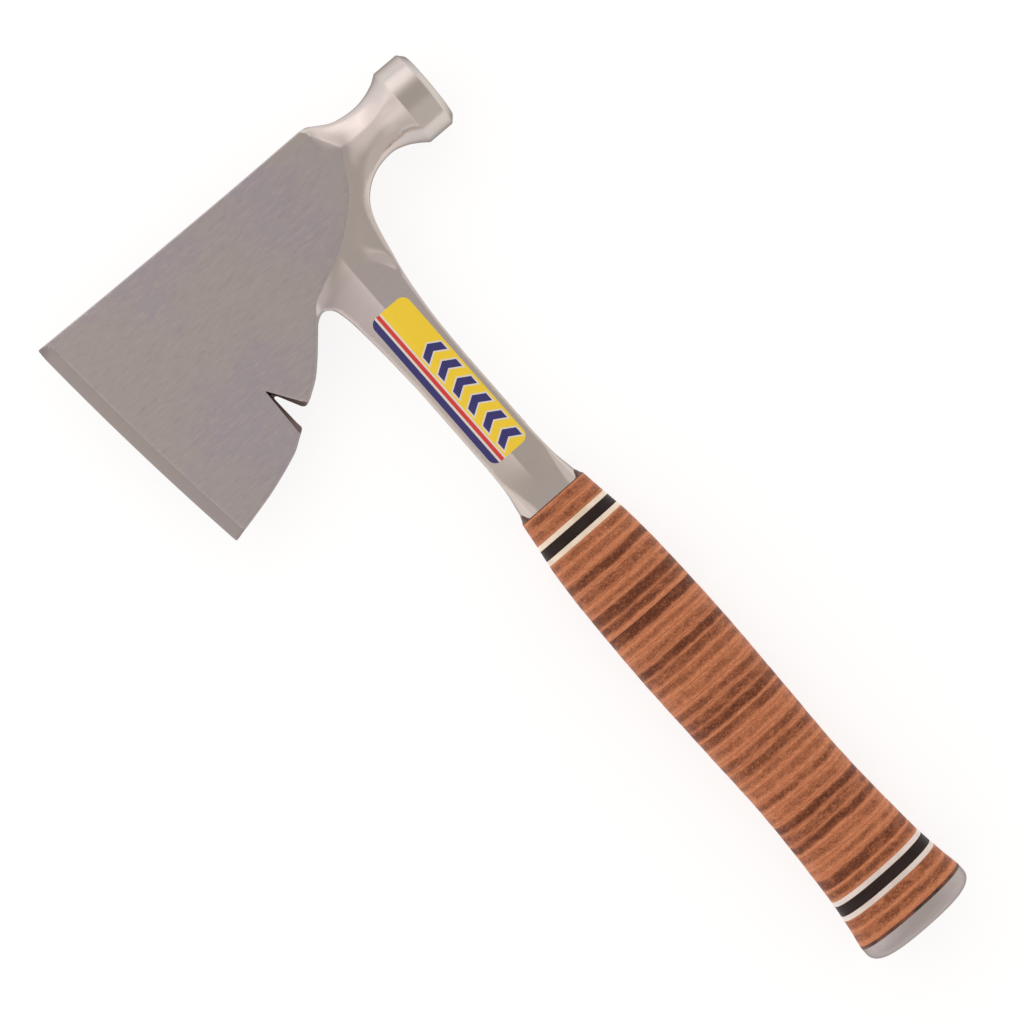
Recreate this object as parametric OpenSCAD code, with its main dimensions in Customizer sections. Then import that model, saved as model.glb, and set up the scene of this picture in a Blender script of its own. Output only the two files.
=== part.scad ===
// Roofing hatchet: one steel forging (blade, neck, round poll, shank and tang) with a grip of leather washers
// stacked on the tang and closed by a steel butt cap.
// X runs from the cutting edge (-) to the striking face (+), Y from the butt (-) to the top of the blade (+)
// and Z is the thickness. The tool lies on its side, with the origin at the bottom centre of its bounding box.

/* [Overall] */
// Length from the butt to the top of the blade
overall_l = 330; // [325:1:345]
// Angle between the grip's axis and the head, degrees
lean = 0.93; // [0:0.01:1.5]

/* [Blade] */
// Distance from the grip's axis to the cutting edge, at the top of the blade
blade_reach = 94.7; // [88:0.1:102]
// Height of the blade at the cutting edge
edge_h = 88.8; // [85:0.1:92]
// Slant of the cutting edge, degrees
edge_slant = 6.2; // [4:0.1:7]
// Crown of the cutting edge
edge_crown = 0.8; // [0.2:0.1:1.5]
// Width of the ground bevel behind the cutting edge
bevel_w = 4.4; // [3:0.1:6]
// Thickness of the blade at the back of the bevel
blade_t = 2.7; // [2:0.1:3.4]
// Thickness of the cheek where it meets the shank
cheek_t = 8.4; // [7:0.1:9]

/* [Nail notch] */
// Distance of the notch from the grip's axis
notch_x = 45.3; // [42:0.1:48]
// Depth of the notch's root below the top of the blade
notch_top = 61.6; // [58:0.1:64]
// Land left between the two bevels of the notch
notch_land = 1.2; // [0.6:0.1:1.6]

/* [Poll] */
// Distance from the grip's axis to the striking face
poll_reach = 59; // [54:0.1:64]
// Diameter of the poll
poll_d = 28.9; // [28.4:0.1:31]
// Length of the poll's cylinder, with its chamfer
poll_l = 11.6; // [9:0.1:13]
// Chamfer round the striking face, along the axis and across it
poll_chamfer = 2.2; // [1:0.1:3]
// Diameter of the neck at its waist
neck_d = 19; // [17:0.1:21]
// Thickness of the neck at its waist
neck_t = 15.6; // [14:0.1:16.5]

/* [Shank] */
// Width of the shank
shank_w = 19.5; // [18:0.1:21]
// Thickness of the shank along its centre ridge
shank_t = 10; // [9:0.1:10.5]
// Thickness of the shank at its edges
shank_edge_t = 8; // [7:0.1:8.8]
// Width of the bolster where it meets the grip
bolster_w = 24.1; // [22:0.1:25]
// Thickness of the bolster where it meets the grip
bolster_t = 12.4; // [12:0.1:14]

/* [Grip] */
// Height of the grip's top above the butt
grip_top = 184.5; // [180:0.5:190]
// Width of the grip at the butt cap
grip_butt_w = 42.1; // [38:0.1:44]
// Width of the grip at its waist
grip_waist_w = 33.2; // [31:0.1:35]
// Width of the grip at its swell
grip_swell_w = 34.9; // [33:0.1:37]
// Width of the grip at its top
grip_top_w = 26.2; // [25.6:0.1:28]
// Leather washers between the two coloured bands
middle_washers = 32; // [28:1:36]
// Thickness of each leather washer above the upper coloured band
top_washer_t = 4.4; // [4:0.1:4.8]
// Thickness of each leather washer below the lower coloured band
butt_washer_t = 4.8; // [4.4:0.1:5]
// Thickness of a white spacer
white_t = 1.8; // [1.2:0.1:2.2]
// Thickness of a black spacer
black_t = 3.8; // [3:0.1:4.5]
// Thickness of the dark spacer above the butt cap
end_spacer_t = 1; // [0.8:0.1:1.6]
// Thickness of the steel butt cap
cap_t = 7.2; // [6.4:0.1:8]

/* [Tang] */
// Width of the tang inside the grip
tang_w = 19; // [16:0.1:20]
// Thickness of the tang inside the grip
tang_t = 6; // [5:0.1:7]
// Diameter of the two tenons that hold the butt cap
tenon_d = 5; // [4:0.1:5.5]
// Distance between the two tenons
tenon_gap = 11; // [9:0.1:12]
// Diameter of the peened tenon heads
peen_d = 7.4; // [6:0.1:8]

/* [Label] */
// Width of the label on the shank
label_w = 15.1; // [12:0.1:16]
// Length of the label
label_l = 62; // [50:0.5:64]
// Radius of the label's corners
label_r = 3; // [1:0.1:4]
// Thickness of the label
label_t = 0.2; // [0.15:0.05:0.3]

/* [Hidden] */
steel = [0.62, 0.58, 0.56];
cap_steel = [0.58, 0.55, 0.53];
leather = [0.62, 0.38, 0.25];
cream = [0.92, 0.86, 0.78];
ebony = [0.18, 0.15, 0.14];
fibre = [0.24, 0.17, 0.15];
label_yellow = [0.96, 0.82, 0.2];

$fn = 96;
eps = 0.01;
far = 40;

// Middle of the poll's axis below the top of the blade
poll_y = -16.35;
// Points round a washer, and the power of its oval (2 is an ellipse)
sides = 32;
oval_power = 2.35;
half_t = poll_d / 2;

// Stations of the grip: [height above the butt, half width, half thickness]
grip_form = [
    [0, grip_butt_w / 2, half_t - 0.05],
    [cap_t, grip_butt_w / 2, half_t - 0.05],
    [15, grip_butt_w / 2 - 1.35, half_t - 0.7],
    [28, grip_waist_w / 2 + 1.6, 13.1],
    [60, grip_waist_w / 2, 12.3],
    [90, (grip_waist_w + grip_swell_w) / 4, 12.9],
    [120, grip_swell_w / 2, 13.5],
    [150, grip_swell_w / 2 - 0.65, 12.8],
    [grip_top - 19.5, grip_top_w / 2 + 2.7, 11.8],
    [grip_top - 9.5, grip_top_w / 2 + 1.3, 10.9],
    [grip_top, grip_top_w / 2, 10.1]
];

washers = middle_washers + 4;
lower_band = cap_t + end_spacer_t + 2 * butt_washer_t;
upper_band = grip_top - 2 * top_washer_t - 2 * white_t - black_t;
middle_from = lower_band + 2 * white_t + black_t;
middle_t = (upper_band - middle_from) / middle_washers;

function washer_name(i) = str("leather_washer_", i < 10 ? "0" : "", i);
function white_name(i) = str("white_spacer_", i);
function black_name(i) = str("black_spacer_", i);

// Height above the butt of the lower face of washer i, counted from the top of the grip
function washer_y(i) =
    i <= 2 ? grip_top - i * top_washer_t
    : i <= washers - 2 ? upper_band - (i - 2) * middle_t
    : lower_band - (i - washers + 2) * butt_washer_t;
function washer_t(i) = i <= 2 ? top_washer_t : i > washers - 2 ? butt_washer_t : middle_t;

// Lower faces of the spacers, counted from the top of the grip
function black_y(i) = (i == 1 ? upper_band : lower_band) + white_t;
function white_y(i) = black_y(i <= 2 ? 1 : 2) + (i % 2 == 1 ? black_t : -white_t);

// Catmull-Rom curve through a list of points, with n steps between each two
function blend(a, b, c, d, t) =
    (2 * b + (c - a) * t + (2 * a - 5 * b + 4 * c - d) * t * t + (3 * b - a - 3 * c + d) * t * t * t) / 2;
function smooth(p, n = 5) = [
    for (i = [0:len(p) - 2], k = [0:n - 1])
        blend(p[max(i - 1, 0)], p[i], p[i + 1], p[min(i + 2, len(p) - 1)], k / n),
    p[len(p) - 1]
];
function tail(p) = [for (i = [1:len(p) - 1]) p[i]];
function mirrored(p) = [for (i = [len(p) - 1:-1:0]) [-p[i][0], p[i][1]]];

// Grip form at height y: a cubic through the two stations round it, with slopes from their neighbours
function slope(g, i) =
    let (a = g[max(i - 1, 0)], b = g[min(i + 1, len(g) - 1)]) (b - a) / (b[0] - a[0]);
function grip_at(y, g = grip_form) =
    let (
        i = max([for (k = [0:len(g) - 2]) if (k == 0 || g[k][0] <= y) k]),
        h = g[i + 1][0] - g[i][0],
        t = (y - g[i][0]) / h
    )
    g[i] * (1 + 2 * t) * (1 - t) * (1 - t) + slope(g, i) * h * t * (1 - t) * (1 - t)
        + g[i + 1] * t * t * (3 - 2 * t) + slope(g, i + 1) * h * t * t * (t - 1);

// Oval ring of the grip at height y, from half width a and half thickness b
function signed_power(v) = sign(v) * pow(abs(v), 2 / oval_power);
function oval(a, b) = [
    for (i = [0:sides - 1]) [a * signed_power(cos(360 * i / sides)), b * signed_power(sin(360 * i / sides))]
];
function ring(y, scale = 1, g = undef) =
    let (form = is_undef(g) ? grip_at(y) : g)
    [for (p = oval(form[1] * scale, form[2] * scale)) [p[0], y, p[1]]];

// Closed solid through rings of equal length, from the lowest to the highest
module loft(rings) {
    n = len(rings[0]);
    last = (len(rings) - 1) * n;
    polyhedron(
        points = [for (r = rings) each r],
        faces = concat(
            [[for (i = [n - 1:-1:0]) i], [for (i = [0:n - 1]) last + i]],
            [
                for (k = [0:len(rings) - 2], i = [0:n - 1])
                    [k * n + i, k * n + (i + 1) % n, (k + 1) * n + (i + 1) % n, (k + 1) * n + i]
            ]
        )
    );
}

// The head is drawn from the top of the blade and the grip from the butt, tilted by the lean.
module in_head() translate([0, overall_l, 0]) children();
module in_grip() in_head() rotate(lean) translate([0, -overall_l, 0]) children();
module laid() translate([(blade_reach - poll_reach) / 2, -overall_l / 2, half_t]) children();

// Extrusions of a drawing seen from the side (X, Y), from above (X, Z) and from the bit (Y, Z)
module through_z(points, t = far) translate([0, 0, -t / 2]) linear_extrude(t) polygon(points);
module along_y(points, from, to)
    translate([0, to, 0]) rotate([90, 0, 0]) linear_extrude(to - from) polygon(points);
module along_x(points, w = far)
    translate([-w / 2, 0, 0]) rotate([90, 0, 90]) linear_extrude(w) polygon(points);

// Points below the top of the blade, as fractions of the blade's reach and of its height at the edge
function on_blade(u, v) = [-u * blade_reach, -v * edge_h];

// The cutting edge, a shallow arch from just under the top corner to the heel
edge_top = [-blade_reach, -4];
edge_low = edge_top + (edge_h + edge_top[1]) * [tan(edge_slant), -1];
edge_steps = 10;
cutting_edge = [
    for (k = [0:edge_steps])
        let (t = k / edge_steps) edge_top * (1 - t) + edge_low * t - [4 * edge_crown * t * (1 - t), 0]
];
throat = [-15, -50.6];
shank_half = shank_w / 2;
// The head's sections run from just above the blade to the shank, and the neck starts under the blade's top.
head_above = 1;
head_below = -85;
neck_above = -1.2;
neck_below = -60;
flare_h = 20.5;

beard = smooth([
    edge_low, on_blade(0.79, 0.977), on_blade(0.685, 0.949), on_blade(0.56, 0.9), on_blade(0.423, 0.793),
    on_blade(0.33, 0.732), on_blade(0.23, 0.619), [-18.4, -51.4], throat, [-12, -53], [-10.4, -62], [-9.2, -75],
    [-8.35, -90]
]);
rear = smooth([[11.2, -90], [11.5, -75], [12.8, -60], [14.5, -50], [16.6, -40], [19.2, -33.5], [24, -28.6], [28, -26.6]]);
blade_top = smooth([[16.5, -1], on_blade(0.17, 0.012), on_blade(0.68, 0.006), [0.5 - blade_reach, 0]]);
head_outline = concat(
    blade_top,
    [[0.1 - blade_reach, -1.2]],
    cutting_edge,
    tail(beard),
    rear,
    [[28, poll_y], [24, -5], [20.5, -2]]
);

// Half thickness of the blade by distance behind the edge, and of the head by distance from the grip's axis
blade_wedge = [[0, 0.1], [bevel_w, blade_t / 2], [60, blade_t / 2 + 1.35], [100, cheek_t / 2], [112, cheek_t / 2 + 0.5]];
head_core = smooth([
    [-14, 3.2], [0, cheek_t / 2], [12, cheek_t / 2 + 0.7], [24, neck_t / 2 - 1.8],
    [poll_reach - 24, neck_t / 2], [poll_reach - 17, 10.4], [poll_reach - poll_l, half_t + 0.2]
], 3);
function both_sides(p) = concat(p, [for (i = [len(p) - 1:-1:0]) [p[i][0], -p[i][1]]]);

module blade() {
    intersection() {
        through_z(head_outline);
        union() {
            translate([edge_top[0] - edge_crown * 0.7, edge_top[1], 0]) rotate(edge_slant)
                along_y(both_sides(blade_wedge), -2 * edge_h, edge_h);
            along_y(both_sides(head_core), head_below, head_above);
        }
    }
}

// Neck and poll, turned about the poll's axis and thinned towards the blade
neck_form = smooth([
    [17, 8], [15, 19.5], [11.3, poll_reach - 32.5], [neck_d / 2, poll_reach - 23.8],
    [11.2, poll_reach - 16.4], [half_t, poll_reach - poll_l]
]);

module neck_and_poll() {
    intersection() {
        translate([0, poll_y, 0]) rotate([0, 90, 0]) rotate_extrude() polygon(concat(
            [[0, 8]], neck_form,
            [[half_t, poll_reach - poll_chamfer], [half_t - poll_chamfer, poll_reach], [0, poll_reach]]
        ));
        along_y(both_sides(concat(head_core, [[poll_reach + 1, half_t + 0.2]])), neck_below, half_t);
        translate([0, neck_below, -far / 2]) cube([poll_reach + 1, neck_above - neck_below, far]);
    }
}

// Shank: a flat bar with a low ridge down the middle, which flares into the bolster
shank_flare = smooth([
    [bolster_w / 2, 0], [bolster_w / 2 - 0.3, 2.5], [shank_half + 1.5, 5.5], [shank_half + 0.8, 9.5],
    [shank_half + 0.3, 13.5], [shank_half, flare_h]
]);
bolster_flare = smooth([
    [0, bolster_t / 2], [2.5, bolster_t / 2 - 0.4], [5.5, shank_t / 2 + 0.5], [9.5, shank_t / 2 + 0.25],
    [13.5, shank_t / 2 + 0.1], [flare_h, shank_edge_t / 2]
]);
// The shank's straight sides end in the head's outline, and its faces run on under the cheek.
shank_l = overall_l - grip_top - 89;
shank_top = overall_l - 52;
shank_section = [
    [-far / 2, shank_edge_t / 2 - 0.6], [-shank_half, shank_edge_t / 2], [0, shank_t / 2],
    [shank_half, shank_edge_t / 2], [far / 2, shank_edge_t / 2 - 0.6]
];

module bolster() {
    intersection() {
        translate([0, grip_top, 0]) through_z(concat(mirrored(shank_flare), shank_flare));
        translate([0, grip_top, 0]) along_x(both_sides(bolster_flare));
        along_y(oval(bolster_w / 2 + 0.2, bolster_t / 2 + 0.2), grip_top, grip_top + flare_h);
    }
}

module shank() {
    in_grip() bolster();
    intersection() {
        in_grip() along_y(both_sides(shank_section), grip_top + 4, shank_top);
        union() {
            in_grip() translate([0, grip_top, 0])
                through_z(concat(mirrored(shank_flare), shank_flare, [
                    [shank_half, shank_l], [-shank_half, shank_l]
                ]));
            in_head() through_z(head_outline);
        }
    }
}

// Flat tang through the washers, and two tenons with peened heads through the butt cap
module tang() {
    translate([-tang_w / 2, cap_t, -tang_t / 2]) cube([tang_w, grip_top - cap_t + 6, tang_t]);
    tenons();
}

module tenons() {
    for (x = [-tenon_gap / 2, tenon_gap / 2])
        translate([x, 0, 0]) rotate([-90, 0, 0]) {
            cylinder(d = tenon_d, h = cap_t + 1);
            cylinder(d1 = peen_d, d2 = tenon_d, h = 1.2);
        }
}

// The notch: a slot through the blade, with a wider bevel towards each face
notch_root = [-notch_x, -notch_top];
notch_inner = [[0.2, -18], [-0.7, -1.2], [-0.4, -0.3], [0, 0], [0.5, -0.1], [0.8, -0.5], [9.2, -16]];
notch_outer = [[-1.6, -18], [-1.5, 4.0], [-1.5, 4.3], [-1.4, 4.4], [-1.3, 4.3], [-1.2, 4.1], [11.7, -16]];
notch_face = blade_t / 2 + 0.9;
function notch_at(k) = [for (i = [0:len(notch_inner) - 1]) notch_root + notch_inner[i] * (1 - k) + notch_outer[i] * k];

module nail_notch() {
    through_z(notch_at(0));
    for (side = [-1, 1]) scale([1, 1, side]) hull() {
        translate([0, 0, notch_land / 2]) linear_extrude(eps) polygon(notch_at(0));
        translate([0, 0, 2 * notch_face - notch_land / 2]) linear_extrude(eps) polygon(notch_at(2));
    }
}

module forging() color(steel) laid() difference() {
    union() {
        in_head() blade();
        in_head() neck_and_poll();
        shank();
        in_grip() tang();
    }
    in_head() nail_notch();
}

// One slice of the grip, with the slot for the tang
module grip_slice(from, t) in_grip() difference() {
    loft([ring(from), ring(from + t)]);
    translate([-tang_w / 2, from - 1, -tang_t / 2]) cube([tang_w, t + 2, tang_t]);
}

// The top washer's leather is drawn up round the two narrow sides of the bolster.
ear_h = 2.6;
ear_lip = 0.4;
ear_from = 10;
module ears() in_grip() difference() {
    loft([ring(grip_top), ring(grip_top + ear_h, (bolster_w + 2 * ear_lip) / grip_top_w, grip_form[len(grip_form) - 1])]);
    bolster();
    translate([-ear_from, grip_top - 1, -far / 2]) cube([2 * ear_from, 2 * ear_h, far]);
}

module leather_washer(i) color(leather) laid() {
    grip_slice(washer_y(i), washer_t(i));
    if (i == 1) ears();
}
module white_spacer(i) color(cream) laid() grip_slice(white_y(i), white_t);
module black_spacer(i) color(ebony) laid() grip_slice(black_y(i), black_t);
module end_spacer() color(fibre) laid() grip_slice(cap_t, end_spacer_t);

// Butt cap: a shallow dome with a rounded rim
cap_straight = 2.4;
cap_steps = 6;
function dome_scale(u) = pow(1 - u * u, 1 / 6);

module butt_cap() color(cap_steel) laid() in_grip() difference() {
    loft(concat(
        [
            for (k = [0:cap_steps - 1])
                let (u = cos(90 * (k + 0.15) / cap_steps))
                ring((cap_t - cap_straight) * (1 - u), dome_scale(u), grip_form[0])
        ],
        [ring(cap_t - cap_straight, 1, grip_form[0]), ring(cap_t, 1, grip_form[0])]
    ));
    tenons();
}

module rounded_plate(w, l, r, t) {
    linear_extrude(t) union() {
        square([w - 2 * r, l], center = true);
        square([w, l - 2 * r], center = true);
        for (x = [-1, 1], y = [-1, 1]) translate([x * (w / 2 - r), y * (l / 2 - r)]) circle(r);
    }
}

// Label: a thin sheet bent over the ridge of the shank
label_y = overall_l - 94.35;
module label() color(label_yellow) laid() in_grip() difference() {
    intersection() {
        translate([0, label_y, 0]) rounded_plate(label_w, label_l, label_r, far / 2);
        translate([0, 0, label_t]) along_y(both_sides(shank_section), label_y - far, label_y + far);
    }
    along_y(both_sides(shank_section), label_y - far, label_y + far);
}

forging();
butt_cap();
end_spacer();
label();
for (i = [1:washers]) leather_washer(i);
for (i = [1:4]) white_spacer(i);
for (i = [1:2]) black_spacer(i);
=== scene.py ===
# Looks of the roofing hatchet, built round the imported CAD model: forging, washers, spacers, cap and label.
import math

import bmesh
import bpy
import numpy as np
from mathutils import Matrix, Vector
from mathutils.geometry import delaunay_2d_cdt


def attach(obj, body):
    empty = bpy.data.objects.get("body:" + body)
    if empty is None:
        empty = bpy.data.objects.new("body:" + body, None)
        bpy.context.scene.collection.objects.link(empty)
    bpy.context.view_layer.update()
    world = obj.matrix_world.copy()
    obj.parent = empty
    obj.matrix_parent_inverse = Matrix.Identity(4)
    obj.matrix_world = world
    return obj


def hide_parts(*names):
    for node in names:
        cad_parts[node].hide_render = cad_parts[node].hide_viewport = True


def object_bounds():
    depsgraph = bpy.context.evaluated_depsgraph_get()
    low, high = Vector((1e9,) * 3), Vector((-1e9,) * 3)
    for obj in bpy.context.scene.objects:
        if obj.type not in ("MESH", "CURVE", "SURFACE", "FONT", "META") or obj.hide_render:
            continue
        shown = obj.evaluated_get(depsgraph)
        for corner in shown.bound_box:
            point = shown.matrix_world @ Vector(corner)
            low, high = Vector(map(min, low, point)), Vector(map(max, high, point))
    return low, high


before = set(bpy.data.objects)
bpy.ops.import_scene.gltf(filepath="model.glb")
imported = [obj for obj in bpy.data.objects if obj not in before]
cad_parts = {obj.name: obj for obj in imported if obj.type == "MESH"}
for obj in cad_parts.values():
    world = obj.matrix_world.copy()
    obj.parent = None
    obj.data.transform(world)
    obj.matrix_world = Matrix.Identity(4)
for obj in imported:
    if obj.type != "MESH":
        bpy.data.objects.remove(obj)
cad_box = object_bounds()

# ---------------------------------------------------------------- sizes, in millimetres
MM = 0.001
OVERALL_L = 330.0
LEAN = math.radians(0.93)
BLADE_REACH = 94.7
EDGE_TOP = np.array([-BLADE_REACH, -4.0])
EDGE_LOW = np.array([-85.5, -88.8])
EDGE_CROWN = 0.8
BEVEL_W = 4.4
BEVEL_HALF_T = 1.35
EDGE_HALF_T = 0.05
MICRO_SLOPE = 0.45
CHEEK_SLOPE = 0.0298
POLL_R = 14.43
POLL_Y = -16.35
POLL_REACH = 59.0
POLL_FROM = 47.4
POLL_CHAMFER = 2.2
SHANK_HALF = 9.75
SHANK_RIDGE = 5.0
SHANK_ROOF = 1.5
SHANK_TO = OVERALL_L - 90.2
BOLSTER_HALF = 12.05
BOLSTER_HALF_T = 6.2
TANG_HALF = 9.5
TANG_HALF_T = 3.0
NOTCH_LAND = 0.6
NOTCH_RISE = 1.87
TENON_GAP = 11.0
TENON_R = 2.5
PEEN_R = 3.7
GRIP_TOP = 184.5
CAP_T = 7.2
CAP_DOME = 4.8
END_SPACER_T = 1.0
TOP_WASHER_T = 4.4
BUTT_WASHER_T = 4.8
WHITE_T = 1.8
BLACK_T = 3.8
MIDDLE_WASHERS = 32
OVAL_POWER = 2.35
EAR_H = 2.6
LABEL_W, LABEL_L, LABEL_R = 15.1, 62.0, 3.0
LABEL_Y = OVERALL_L - 94.35
LABEL_LIFT = 0.1

# Points round the poll and the tenons, and round the grip
RING = 48
ROUND = 112

# The head's origin is where the grip's axis meets the blade's top; the grip's is the middle of the butt.
HEAD = np.array([cad_box[0].x / MM + BLADE_REACH, cad_box[1].y / MM, (cad_box[0].z + cad_box[1].z) / 2 / MM])


def grip_to_head(points):
    """Rows in the grip's frame (x across, y up from the butt), in the head's frame."""
    p = np.array(points, float)
    turned = p.copy()
    y = p[..., 1] - OVERALL_L
    turned[..., 0] = p[..., 0] * math.cos(LEAN) - y * math.sin(LEAN)
    turned[..., 1] = p[..., 0] * math.sin(LEAN) + y * math.cos(LEAN)
    return turned


def head_to_grip(points):
    """The same rows the other way."""
    p = np.array(points, float)
    turned = p.copy()
    turned[..., 0] = p[..., 0] * math.cos(LEAN) + p[..., 1] * math.sin(LEAN)
    turned[..., 1] = -p[..., 0] * math.sin(LEAN) + p[..., 1] * math.cos(LEAN) + OVERALL_L
    return turned


def to_row(points):
    """Millimetres in the head's frame to metres in the row's frame."""
    return (np.asarray(points, float) + HEAD) * MM


# ---------------------------------------------------------------- curves and fields
def smoothstep(t, low=0.0, high=1.0):
    t = np.clip((t - low) / (high - low), 0, 1)
    return t * t * (3 - 2 * t)


def spline(points, step):
    """Catmull-Rom curve through rows of numbers, the first two of them x and y, at about that spacing."""
    p = np.array(points, float)
    padded = np.vstack([2 * p[0] - p[1], p, 2 * p[-1] - p[-2]])
    rows = []
    for a, b, c, d in zip(padded, padded[1:], padded[2:], padded[3:]):
        n = max(1, int(round(np.hypot(*(c - b)[:2]) / step)))
        t = (np.arange(n) / n)[:, None]
        square, cube = 2 * a - 5 * b + 4 * c - d, 3 * b - a - 3 * c + d
        rows.append((2 * b + (c - a) * t + square * t**2 + cube * t**3) / 2)
    return np.vstack(rows + [p[-1:]])


def line(points, step):
    """Straight stretches through the points, at about that spacing."""
    p = np.array(points, float)
    rows = []
    for b, c in zip(p, p[1:]):
        n = max(1, int(round(np.hypot(*(c - b)[:2]) / step)))
        rows.append(b + (c - b) * (np.arange(n) / n)[:, None])
    return np.vstack(rows + [p[-1:]])


def rounded(points, radius, step):
    """A polyline of rows (x, y, ...) whose inner corners are rounded."""
    p = np.array(points, float)
    rows = [p[:1]]
    for a, b, c in zip(p, p[1:], p[2:]):
        u, v = a - b, c - b
        start = b + u * min(0.5, radius / np.hypot(*u[:2]))
        end = b + v * min(0.5, radius / np.hypot(*v[:2]))
        n = max(3, int(round(radius * 1.6 / step)))
        t = np.linspace(0, 1, n + 1)[:, None]
        rows.append(start * (1 - t) ** 2 + b * 2 * t * (1 - t) + end * t**2)
    rows.append(p[-1:])
    return unrepeated(line(np.vstack(rows), step), step / 6)


def unrepeated(path, gap):
    """The path without inner points that lie closer than gap to the one before them."""
    kept = [path[0]]
    for row in path[1:-1]:
        if np.hypot(*(row - kept[-1])[:2]) > gap and np.hypot(*(row - path[-1])[:2]) > gap:
            kept.append(row)
    return np.vstack(kept + [path[-1]])


def nearest(points, path):
    """For each point: distance to the open path, and the path's row at the nearest place."""
    a, b = path[:-1, :2], path[1:, :2]
    ab = b - a
    length2 = np.maximum((ab**2).sum(1), 1e-12)
    dist, rows = [], []
    for chunk in np.array_split(points[:, :2], max(1, len(points) // 2000)):
        ap = chunk[:, None, :] - a[None]
        t = np.clip((ap * ab[None]).sum(2) / length2, 0, 1)
        d = np.hypot(ap[..., 0] - t * ab[:, 0], ap[..., 1] - t * ab[:, 1])
        k = d.argmin(1)
        here = np.arange(len(chunk))
        dist.append(d[here, k])
        along = t[here, k][:, None]
        rows.append(path[k] * (1 - along) + path[k + 1] * along)
    return np.concatenate(dist), np.vstack(rows)


def inside(points, polygon):
    """Whether each point is inside the closed polygon."""
    x, y = points[:, 0], points[:, 1]
    found = np.zeros(len(points), bool)
    for (x0, y0), (x1, y1) in zip(polygon[:, :2], np.roll(polygon[:, :2], -1, 0)):
        crosses = (y0 > y) != (y1 > y)
        found ^= crosses & (x < (x1 - x0) * (y - y0) / (y1 - y0 + 1e-30) + x0)
    return found


def in_box(points, box):
    """Whether each point is inside the box, given as its low and high corners."""
    return ((points > box[0]) & (points < box[1])).all(-1)


# ---------------------------------------------------------------- outline of the forging
# Each row is x, y and then how the faces round off towards the outline: the width and depth of the rounding,
# and the two powers of its profile (2, 2 is a quarter of an ellipse; a low first power leaves a crease).
SOFT = (0.45, 0.45, 2.0, 2.0)
KEEN = (0.03, 0.0, 2.0, 2.0)

cheek_line = spline([
    [16.5, -1.0], [18.6, -4.6], [20.8, -8.7], [22.7, -12.2], [23.5, -14.4], [22.6, -16.2], [20.6, -18.8],
    [19.0, -22.2], [15.4, -27.6], [6.6, -35.6], [-0.6, -40.3], [-8.6, -43.8], [-15.0, -47.2], [-18.5, -51.3],
], 0.6)
beyond_blade = [[-17.0, -52.6], [-17.0, -120], [-120, -120], [-120, 10], [16.5, 10]]
cheek_area = np.vstack([cheek_line[:, :2], beyond_blade])

edge_t = np.linspace(0, 1, 140)[:, None]
cutting_edge = EDGE_TOP * (1 - edge_t) + EDGE_LOW * edge_t
cutting_edge[:, 0] -= (4 * EDGE_CROWN * edge_t * (1 - edge_t))[:, 0]


def shaped(points, rounding):
    """Points with the same rounding all along."""
    return np.array([[*p, *rounding] for p in points])


neck_top = spline([
    [POLL_FROM, POLL_Y + POLL_R, 10.1, 14, 1.0, 2.2], [44.3, -4.0, 8.8, 12, 1.0, 2.3],
    [40.2, -5.55, 8.2, 9.4, 1.0, 2.4], [35.9, -6.3, 8.1, 7.2, 1.0, 2.4], [31.2, -6.05, 8.6, 6.0, 1.0, 2.4],
    [26.5, -5.05, 9.2, 5.2, 1.0, 2.4], [22.2, -2.7, 7.4, 4.2, 1.1, 2.4], [19.3, -1.15, 3.0, 2.6, 1.6, 2.2],
    [17.8, -1.02, 1.3, 1.2, 1.8, 2.1], [16.5, -1.0, *SOFT],
], 0.5)
blade_top = spline(shaped([[16.5, -1.0], [-16, -1.05], [-64, -0.55], [-93.9, 0.0]], SOFT), 0.9)
blade_corner = rounded([
    [-93.9, 0.0, *SOFT], [-94.55, 0.0, 0.3, 0.2, 2, 2], [-94.67, -1.4, 0.1, 0.1, 2, 2], [*EDGE_TOP, *KEEN],
], 0.6, 0.3)
edge = shaped(cutting_edge, KEEN)
heel = rounded([
    [*EDGE_LOW, *KEEN], [EDGE_LOW[0] + 0.35, EDGE_LOW[1] - 0.5, *KEEN], [-82.5, -88.6, 0.3, 0.3, 2, 2],
], 0.5, 0.3)
beard_front = spline(shaped(
    [[-82.5, -88.6], [-74.8, -86.8], [-64.9, -84.2], [-53.0, -79.9], [-47.6, -76.6]], SOFT), 0.8)
NOTCH = (0.05, 0.0, 2.0, 2.0)
notch_edge = rounded([
    [-47.6, -76.6, *SOFT], [-45.0, -75.0, *SOFT], [-45.35, -72.5, *NOTCH], [-45.95, -61.4, *NOTCH],
    [-44.9, -61.4, *NOTCH], [-40.6, -69.7, *NOTCH], [-39.4, -70.4, *SOFT], [-36.6, -69.0, *SOFT],
], 0.9, 0.25)
beard_rear = spline([
    [-36.6, -69.0, *SOFT], [-31.2, -65.2, *SOFT], [-26.3, -60.3, *SOFT], [-21.8, -55.2, *SOFT],
    [-18.5, -51.7, 0.6, 0.6, 2, 2], [-15.2, -50.6, 0.8, 0.8, 2, 2], [-12.4, -52.8, 1.0, 0.9, 2, 2],
    [-11.0, -57.5, 1.0, 0.9, 2, 2], [-10.3, -62.5, 0.9, 0.8, 2, 2], [-9.2, -75.0, 0.8, 0.8, 2, 2],
    [-8.3, -90.0, 0.8, 0.8, 2, 2],
], 0.6)

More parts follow.
